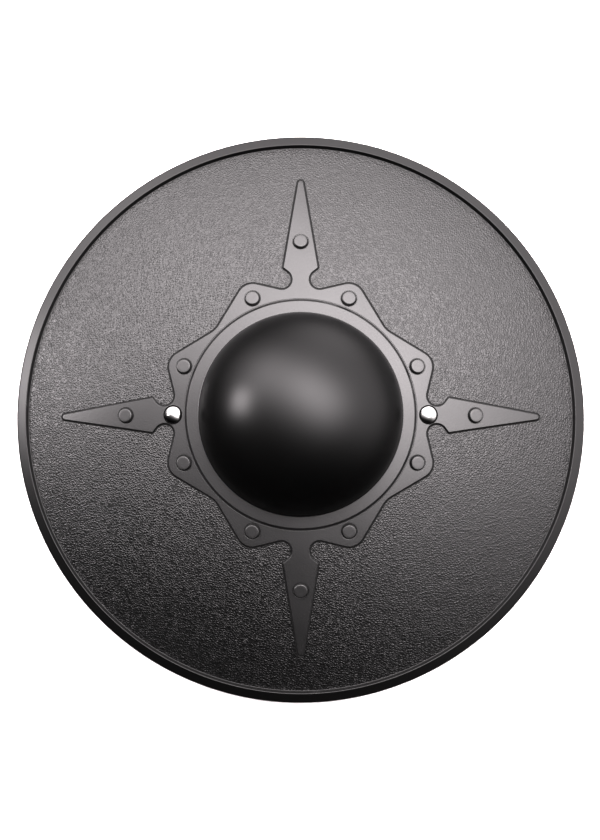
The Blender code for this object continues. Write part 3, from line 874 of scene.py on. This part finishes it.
def black_plastic(name, colour, worn_colour, gloss, specular, grain_depth, fine_depth, wear_limits):
    """Black moulded plastic with its own grain depth, fine texture, gloss and worn edges."""
    material = bpy.data.materials.new(name)
    material.use_nodes = True
    tree = material.node_tree
    shader = tree.nodes["Principled BSDF"]
    middle, spread = gloss
    worn = use_effect(tree, "wear", "Mask", Start=wear_limits[0], Full=wear_limits[1])
    lines = use_effect(tree, "hairlines", "Mask", Amount=HAIRLINES_ON_PLASTIC)
    patches = add_node(tree, "TexNoise", {"Vector": place_over(tree, MOTTLE_SIZE), "Detail": 5.0, "Scale": 1.0})
    tone = remap(tree, patches.outputs["Fac"], 0.35, 0.65)
    mottled = blend_colour(tree, tone, colour, tuple(MOTTLE_GAIN * value for value in colour))
    lined = blend_colour(tree, lines, mottled, worn_colour)
    tree.links.new(blend_colour(tree, worn, lined, worn_colour), shader.inputs["Base Color"])
    uneven = use_effect(tree, "gloss", "Roughness", Middle=middle, Spread=spread)
    polished = calculate(tree, "MULTIPLY_ADD", worn, WORN_ROUGHNESS, uneven)
    roughness = calculate(tree, "MULTIPLY_ADD", lines, HAIRLINE_ROUGHNESS, polished)
    tree.links.new(roughness, shader.inputs["Roughness"])
    where = place_over(tree, FINE_TEXTURE_SIZE)
    texture = add_node(tree, "TexNoise", {"Vector": where, "Detail": 3.0, "Scale": 1.0})
    normal = bumped(tree, texture.outputs["Fac"], fine_depth)
    if grain_depth:
        normal = bumped(tree, use_effect(tree, "grain", "Height", Relief=grain_depth / MM), MM, normal)
    tree.links.new(normal, shader.inputs["Normal"])
    shader.inputs["Specular IOR Level"].default_value = specular
    return material


matt_grip = black_plastic(
    "matt_grip", (0.017, 0.017, 0.017), (0.035, 0.035, 0.035), (0.56, 0.1), 0.45, 0.05 * MM, 0.02 * MM, (0.54, 0.66)
)
print("plastic of the grip:", matt_grip.name)

# %% [markdown]
# The bolts and nuts are bright steel, the bolt heads polished to a mirror. Steel takes its colour from its
# reflections, so its base colour is only a little stained, and hairlines show in its gloss.

# %% Bright steel
HAIRLINES_ON_STEEL = 0.5
STEEL_HAIRLINE_ROUGHNESS = 0.15
STAIN_SIZE = 2.5 * MM
STAIN_GAIN = 0.78
RIPPLE_SIZE = 1.5 * MM


def bright_steel(name, colour, gloss, fine_depth):
    """Polished steel with faint hairlines and slightly uneven gloss."""
    material = bpy.data.materials.new(name)
    material.use_nodes = True
    tree = material.node_tree
    shader = tree.nodes["Principled BSDF"]
    middle, spread = gloss
    lines = use_effect(tree, "hairlines", "Mask", Amount=HAIRLINES_ON_STEEL)
    stain = add_node(tree, "TexNoise", {"Vector": place_over(tree, STAIN_SIZE), "Detail": 4.0, "Scale": 1.0})
    tone = remap(tree, stain.outputs["Fac"], 0.4, 0.7)
    darker = tuple(STAIN_GAIN * value for value in colour)
    tree.links.new(blend_colour(tree, tone, colour, darker), shader.inputs["Base Color"])
    uneven = use_effect(tree, "gloss", "Roughness", Middle=middle, Spread=spread)
    roughness = calculate(tree, "MULTIPLY_ADD", lines, STEEL_HAIRLINE_ROUGHNESS, uneven)
    tree.links.new(roughness, shader.inputs["Roughness"])
    ripples = add_node(tree, "TexNoise", {"Vector": place_over(tree, RIPPLE_SIZE), "Detail": 2.0, "Scale": 1.0})
    tree.links.new(bumped(tree, ripples.outputs["Fac"], fine_depth), shader.inputs["Normal"])
    shader.inputs["Metallic"].default_value = 1
    return material


mirror_steel = bright_steel("mirror_steel", (0.55, 0.55, 0.54), (0.12, 0.06), 0.001 * MM)
plain_steel = bright_steel("plain_steel", (0.62, 0.62, 0.61), (0.3, 0.15), 0.008 * MM)
print("steels:", mirror_steel.name, plain_steel.name)

# %% [markdown]
# Now the moulding gets its six finishes, in the order of the slots that its faces carry. In each row below
# stand the colour, the colour where it is worn, the gloss with its spread, the strength of its mirror, the
# depth of the grain, the depth of the finest texture, and where wear starts and is full.

# %% The finishes of the moulding
pebbled_field = black_plastic(
    "pebbled_field", (0.0015, 0.0015, 0.0015), (0.01, 0.01, 0.01), (0.3, 0.08), 0.63, 0.13 * MM, 0.01 * MM, (0.56, 0.7)
)
satin_raised = black_plastic(
    "satin_raised", (0.01, 0.01, 0.01), (0.03, 0.03, 0.03), (0.32, 0.16), 0.62, 0, 0.05 * MM, (0.53, 0.62)
)
boss_gloss = black_plastic(
    "boss_gloss", (0.001, 0.001, 0.001), (0.01, 0.01, 0.01), (0.34, 0.05), 0.36, 0, 0.006 * MM, (0.56, 0.7)
)
smooth_rim = black_plastic(
    "smooth_rim", (0.001, 0.001, 0.001), (0.01, 0.01, 0.01), (0.36, 0.08), 0.5, 0, 0.02 * MM, (0.55, 0.65)
)
# The recess finish is painted shade: near black and barely mirroring, it makes the bolt recesses as dark as a deep
# shaded hollow.
painted_shade_recess = black_plastic(
    "painted_shade_recess", (0.001, 0.001, 0.001), (0.004, 0.004, 0.004), (0.7, 0.1), 0.12, 0, 0.02 * MM, (0.6, 0.75)
)
plain_back = black_plastic(
    "plain_back", (0.018, 0.018, 0.0182), (0.04, 0.04, 0.04), (0.5, 0.1), 0.5, 0, 0.02 * MM, (0.54, 0.65)
)
finish_piece(
    "moulding",
    skin_to_bmesh(body),
    [pebbled_field, satin_raised, boss_gloss, smooth_rim, painted_shade_recess, plain_back],
    "shield_body",
)

# %% [markdown]
# ## The bolts and nuts
# Two steel bolts hold the grip. Their heads are shallow polished domes that sit in the recesses, and their
# shanks pass through the wall, the pad, the grip's foot and a plain nut. They are turned round their own axes
# and then moved to where they stand, square to the bowl. The photograph shows no bolt mirrored in the boss, so
# they are hidden from reflections.

# %% Bolts
BOLT_CAP_RISE = 1.7 * MM
BOLT_CAP_RINGS = 14
BOLT_CAP_SHARE = 0.93
BOLT_RIM_ROUND = 0.25 * MM
BOLT_END_CHAMFER = 0.5 * MM
SHANK_NECK_ROUND = 0.15 * MM
SHANK_END_ROUND = 0.1 * MM
BOLT_STEPS = 64


def turned_solid(profile, count, slot=0):
    """A closed skin turned about Z from (radius, height) points that start and end on the axis."""
    skin = Skin()
    rings = turned_rings(skin, profile[1:-1], count)
    skin.bridge(rings, slot)
    skin.cap(rings[0], (0, 0, profile[0][1]), slot)
    skin.cap(rings[-1], (0, 0, profile[-1][1]), slot)
    return skin


def bolt_profile():
    seat = -RECESS_DEPTH + SEAT_GAP
    top = seat + BOLT_HEAD_RISE
    cap_radius = (BOLT_HEAD_RADIUS**2 + BOLT_CAP_RISE**2) / (2 * BOLT_CAP_RISE)
    cap_turn = math.asin(BOLT_HEAD_RADIUS / cap_radius)
    turns = [cap_turn * BOLT_CAP_SHARE * ring / BOLT_CAP_RINGS for ring in range(BOLT_CAP_RINGS + 1)]
    cap = [(cap_radius * math.sin(turn), top - cap_radius * (1 - math.cos(turn))) for turn in turns]
    rim_height = top - BOLT_CAP_RISE
    edge = softened([(*cap[-1], 0), (BOLT_HEAD_RADIUS, rim_height, BOLT_RIM_ROUND), (BOLT_HEAD_RADIUS, seat, 0)])
    shank = softened(
        [
            (BOLT_HEAD_RADIUS, seat, 0),
            (BOLT_SHANK_RADIUS, seat, SHANK_NECK_ROUND),
            (BOLT_SHANK_RADIUS, BOLT_END_LEVEL + BOLT_END_CHAMFER, SHANK_END_ROUND),
            (BOLT_SHANK_RADIUS - BOLT_END_CHAMFER, BOLT_END_LEVEL, SHANK_END_ROUND),
            (0, BOLT_END_LEVEL, 0),
        ]
    )
    return cap + edge[1:] + shank[1:]


for side, angle in SIDES.items():
    bolt_shape = skin_to_bmesh(turned_solid(bolt_profile(), BOLT_STEPS))
    bolt_shape.transform(on_field(BOLT_PITCH, angle, PLATE_RISE))
    domed_bolt = finish_piece(f"domed_bolt_{side}", bolt_shape, [mirror_steel], f"bolt_{side}")
    domed_bolt.visible_glossy = False

# %% [markdown]
# Holes and chamfers are cuts, as a drill and a lathe make them. An exact Boolean gives a clean cut. It needs
# two objects for a moment, so they are made, used and removed.

# %% Cutting one shape with another
def shape_object(name, shape):
    bmesh.ops.recalc_face_normals(shape, faces=shape.faces)
    mesh = bpy.data.meshes.new(name)
    shape.to_mesh(mesh)
    shape.free()
    item = bpy.data.objects.new(name, mesh)
    bpy.context.scene.collection.objects.link(item)
    return item


def combined(shape, operation, tool):
    """The bmesh that is left after an exact Boolean of two bmeshes."""
    item, cutter = shape_object("shape", shape), shape_object("tool", tool)
    modifier = item.modifiers.new("cut", "BOOLEAN")
    modifier.operation = operation
    modifier.solver = "EXACT"
    modifier.object = cutter
    graph = bpy.context.evaluated_depsgraph_get()
    result = bmesh.new()
    result.from_object(item, graph)
    for helper in (item, cutter):
        mesh = helper.data
        bpy.data.objects.remove(helper)
        bpy.data.meshes.remove(mesh)
    return result


def drill(level_above, level_below):
    """A round cutter as wide as a bolt's hole, a little longer than what it passes through."""
    radius = BOLT_SHANK_RADIUS + BOLT_CLEARANCE
    above, below = level_above + MM, level_below - MM
    return skin_to_bmesh(turned_solid([(0, above), (radius, above), (radius, below), (0, below)], BOLT_STEPS))


print("hole for a bolt, in mm:", round(2 * (BOLT_SHANK_RADIUS + BOLT_CLEARANCE) / MM, 1))

# %% [markdown]
# A plain nut is a slice of hexagon bar, turned at both faces so that its corners are cut off, and bored for
# the bolt. Its thread doesn't show, so the bore is smooth.

# %% Nuts
NUT_CHAMFER = 0.4 * MM
NUT_CHAMFER_SLANT = 3 * NUT_CHAMFER
HEXAGON_SIDES = 6


def nut_shape():
    """A hexagon with its corners turned off at both faces, bored for the bolt."""
    flat = NUT_ACROSS_FLATS / 2
    corner = flat / math.cos(math.pi / HEXAGON_SIDES)
    hexagon = skin_to_bmesh(
        turned_solid(
            [(0, NUT_SEAT_LEVEL), (corner, NUT_SEAT_LEVEL), (corner, NUT_BACK_LEVEL), (0, NUT_BACK_LEVEL)],
            HEXAGON_SIDES,
        )
    )
    hexagon.transform(Matrix.Rotation(math.pi / HEXAGON_SIDES, 4, "Z"))
    turned = skin_to_bmesh(
        turned_solid(
            [
                (0, NUT_SEAT_LEVEL + NUT_CHAMFER),
                (corner - NUT_CHAMFER - NUT_CHAMFER_SLANT, NUT_SEAT_LEVEL + NUT_CHAMFER),
                (corner, NUT_SEAT_LEVEL - NUT_CHAMFER),
                (corner, NUT_BACK_LEVEL + NUT_CHAMFER),
                (corner - NUT_CHAMFER - NUT_CHAMFER_SLANT, NUT_BACK_LEVEL - NUT_CHAMFER),
                (0, NUT_BACK_LEVEL - NUT_CHAMFER),
            ],
            BOLT_STEPS,
        )
    )
    return combined(combined(hexagon, "INTERSECT", turned), "DIFFERENCE", drill(NUT_SEAT_LEVEL, NUT_BACK_LEVEL))


for side, angle in SIDES.items():
    nut = nut_shape()
    nut.transform(on_field(BOLT_PITCH, angle, PLATE_RISE))
    finish_piece(f"hexagon_nut_{side}", nut, [plain_steel], f"nut_{side}")

# %% [markdown]
# ## The grip
# One hand holds the shield by a bar across the hollow of the boss. The bar is thickest in the middle and
# thins at each end into a flat foot under the bolt. It is lofted: a rounded rectangle is drawn at each place
# along the bar, and the sections are joined. The photograph doesn't show it, so it is plain.

# %% Sections of the grip
GRIP_BAR_HALF_LENGTH = 43 * MM
GRIP_END_LENGTH = 15 * MM
GRIP_WIDTH = 28 * MM
GRIP_SWELL = 4 * MM
GRIP_THICKNESS = 24 * MM
GRIP_FLOOR_CLEARANCE = 7 * MM
GRIP_CORNER = 10.5 * MM
FOOT_WIDTH = 24 * MM
FOOT_CORNER = 1.2 * MM
CORNER_STEPS = 9
LEAST_FLAT = 0.1 * MM


def eased(value, start, end):
    share = min(max((value - start) / (end - start), 0), 1)
    return share * share * (3 - 2 * share)


def between(first, second, share):
    return first + (second - first) * share


foot_seat = on_field(BOLT_PITCH, 0, PLATE_RISE) @ Vector((0, 0, FOOT_SEAT_LEVEL))
foot_lean = field_slope(BOLT_PITCH)


def grip_section(reach):
    """Width, lower height, upper height and corner round of the grip at a distance from its middle."""
    foot_top = foot_seat.z - (reach - foot_seat.x) * math.tan(foot_lean)
    foot_low = foot_top - FOOT_THICKNESS / math.cos(foot_lean)
    share = eased(reach, GRIP_BAR_HALF_LENGTH, GRIP_BAR_HALF_LENGTH + GRIP_END_LENGTH)
    swell = GRIP_SWELL * (1 - eased(reach, 0, GRIP_BAR_HALF_LENGTH))
    past_axis = max(reach - foot_seat.x, 0)
    round_end = math.sqrt(max(1 - (2 * past_axis / FOOT_WIDTH) ** 2, 0))
    width = between(GRIP_WIDTH + swell, FOOT_WIDTH, share) * round_end
    low = between(GRIP_FLOOR_CLEARANCE, foot_low, share)
    high = between(GRIP_FLOOR_CLEARANCE + GRIP_THICKNESS, foot_top, share)
    return width, low, high, between(GRIP_CORNER, FOOT_CORNER, share)


def section_points(reach):
    width, low, high, corner = grip_section(abs(reach))
    corner = min(corner, width / 2 - LEAST_FLAT, (high - low) / 2 - LEAST_FLAT)
    points = []
    for quarter, (side, rise) in enumerate(((1, 1), (-1, 1), (-1, -1), (1, -1))):
        centre_y = side * (width / 2 - corner)
        centre_z = high - corner if rise > 0 else low + corner
        for step in range(CORNER_STEPS):
            angle = QUARTER * (quarter + step / (CORNER_STEPS - 1))
            points.append((reach, centre_y + corner * math.cos(angle), centre_z + corner * math.sin(angle)))
    return points


print("grip width in the middle, in mm:", round(grip_section(0)[0] / MM, 1))

# %% [markdown]
# The sections stand closer where the bar bends down into its feet and where the feet end in a half round.
# Each foot is drilled for its bolt, square to the bowl as the bolt is.

# %% Loft and drill the grip
BAR_SECTIONS = 10
BEND_SECTIONS = 14
LAST_SECTION = 0.995


def grip_skin():
    bar = [GRIP_BAR_HALF_LENGTH * step / BAR_SECTIONS for step in range(BAR_SECTIONS)]
    steps = range(BEND_SECTIONS + 1)
    bend = [GRIP_BAR_HALF_LENGTH + GRIP_END_LENGTH * step / BEND_SECTIONS for step in steps]
    round_end = [FOOT_WIDTH / 2 * math.sin(QUARTER * step / BEND_SECTIONS) * LAST_SECTION for step in steps]
    end = [foot_seat.x + reach for reach in round_end]
    reaches = bar + bend + end
    skin = Skin()
    both_ways = [-reach for reach in reversed(reaches[1:])] + reaches
    rings = [skin.ring(section_points(reach)) for reach in both_ways]
    skin.bridge(rings, 0)
    for ring in (rings[0], rings[-1]):
        points = np.array([skin.points[index] for index in ring])
        skin.cap(ring, points.mean(axis=0), 0)
    return skin


grip_shape = skin_to_bmesh(grip_skin())
for angle in SIDES.values():
    hole = drill(FOOT_SEAT_LEVEL, FOOT_BACK_LEVEL)
    hole.transform(on_field(BOLT_PITCH, angle, PLATE_RISE))
    grip_shape = combined(grip_shape, "DIFFERENCE", hole)
finish_piece("bar_grip", grip_shape, [matt_grip], "grip")

# %% [markdown]
# ## The light
# The shield lies on white paper. Black gloss shows its surroundings, so the paper is hidden from reflections:
# the photograph shows none of it in the boss.

# %% White paper floor
FLOOR_SIZE = 8.0
PAPER_FIBRE = 0.8 * MM


def plain_floor():
    mesh = bpy.data.meshes.new("floor")
    half = FLOOR_SIZE / 2
    mesh.from_pydata([(-half, -half, 0), (half, -half, 0), (half, half, 0), (-half, half, 0)], [], [(0, 1, 2, 3)])
    floor = bpy.data.objects.new("floor", mesh)
    paper = bpy.data.materials.new("white_paper")
    paper.use_nodes = True
    shader = paper.node_tree.nodes["Principled BSDF"]
    fibre = add_node(paper.node_tree, "TexNoise", {"Vector": place_over(paper.node_tree, PAPER_FIBRE), "Detail": 3.0})
    tone = remap(paper.node_tree, fibre.outputs["Fac"], 0.3, 0.7)
    paper.node_tree.links.new(
        blend_colour(paper.node_tree, tone, (0.9, 0.9, 0.9), (0.93, 0.93, 0.93)), shader.inputs["Base Color"]
    )
    shader.inputs["Roughness"].default_value = 1
    shader.inputs["Specular IOR Level"].default_value = 0
    mesh.materials.append(paper)
    floor.visible_glossy = False
    bpy.context.scene.collection.objects.link(floor)


plain_floor()
print("floor, in m:", FLOOR_SIZE)

# %% [markdown]
# One soft box stands low on the left. It gives the small glow on the boss, and the glints on the left sides of
# the relief. An area lamp that faces the shield is the plain way to make it. Its power follows from how bright
# its cloth is and how large it is.

# %% Soft box on the left
LAMP_DISTANCE = 1.5
LIGHT_TINT = (1.0, 0.95, 0.963)
# Slant off the vertical and azimuth from the right edge, in degrees, then width, height and radiance
LEFT_BOX = (62.5, 168.0, 0.48, 0.52, 22.5)


def toward(slant, azimuth):
    slant, azimuth = math.radians(slant), math.radians(azimuth)
    return Vector((math.sin(slant) * math.cos(azimuth), math.sin(slant) * math.sin(azimuth), math.cos(slant)))


def soft_box(name, slant, azimuth, width, height, radiance):
    data = bpy.data.lights.new(name, "AREA")
    data.shape = "RECTANGLE"
    data.size = width
    data.size_y = height
    data.color = LIGHT_TINT
    data.energy = radiance * math.pi * width * height
    item = bpy.data.objects.new(name, data)
    way = toward(slant, azimuth)
    item.location = way * LAMP_DISTANCE
    item.rotation_euler = way.to_track_quat("Z", "Y").to_euler()
    bpy.context.scene.collection.objects.link(item)
    return item


left_box = soft_box("left_box", *LEFT_BOX)
print("soft box, in m from the shield:", round(left_box.location.length, 2))

# %% [markdown]
# All the other light comes from a tent of white cloth that is lit from outside. It glows softly above the
# shield's upper half and low beyond its left, upper and right edges. Nothing glows toward the lower edge, so the
# lower half of the boss is nearly black. A glow fades with the angle from its middle along an S-shaped curve,
# so it leaves no hard shape on the dome, as a lamp of its own would. The camera sees plain white instead.

# %% Light tent
# Slant, azimuth, half angle and softness of the edge, in degrees, then radiance
TENT_GLOWS = {
    "upper": (25.7, 83.4, 16.9, 9.0, 14.6),
    "upper_right": (26.4, 19.2, 16.3, 7.2, 11.6),
    "upper_left": (52.0, 129.6, 18.0, 8.0, 9.4),
    "far_left": (80.0, 135.0, 18.0, 8.0, 2.1),
    "right": (70.6, 10.8, 29.7, 7.9, 3.4),
    "far": (85.0, 68.0, 26.0, 9.0, 4.4),
}
BACKDROP_TONE = 0.9


def light_tent():
    world = bpy.data.worlds.new("light_tent")
    world.use_nodes = True
    tree = world.node_tree
    way = add_node(tree, "TexCoord").outputs["Generated"]
    total = 0.0
    for slant, azimuth, half, softness, radiance in TENT_GLOWS.values():
        facing = add_node(tree, "VectorMath", {0: way, 1: toward(slant, azimuth)}, operation="DOT_PRODUCT")
        angle = calculate(tree, "ARCCOSINE", facing.outputs["Value"])
        past = calculate(tree, "SUBTRACT", angle, math.radians(half))
        fading = calculate(tree, "EXPONENT", calculate(tree, "DIVIDE", past, math.radians(softness)))
        glow = calculate(tree, "DIVIDE", radiance, calculate(tree, "ADD", fading, 1.0))
        total = calculate(tree, "ADD", total, glow)
    backdrop = tree.nodes["Background"]
    backdrop.inputs["Color"].default_value = (*LIGHT_TINT, 1)
    seen = add_node(tree, "LightPath").outputs["Is Camera Ray"]
    strength = add_node(tree, "Mix", {0: seen, 2: total, 3: BACKDROP_TONE}, data_type="FLOAT").outputs[0]
    tree.links.new(strength, backdrop.inputs["Strength"])
    bpy.context.scene.world = world


light_tent()
print("glows of the tent:", ", ".join(TENT_GLOWS))

# %% [markdown]
# The photograph is a bright one with plain contrast. The Standard view keeps white paper white, and a gamma
# under one deepens the dark tones of the plastic a little.

# %% Tone of the picture
VIEW_GAMMA = 0.78
bpy.context.scene.view_settings.view_transform = "Standard"
bpy.context.scene.view_settings.gamma = VIEW_GAMMA
print("gamma of the view:", VIEW_GAMMA)
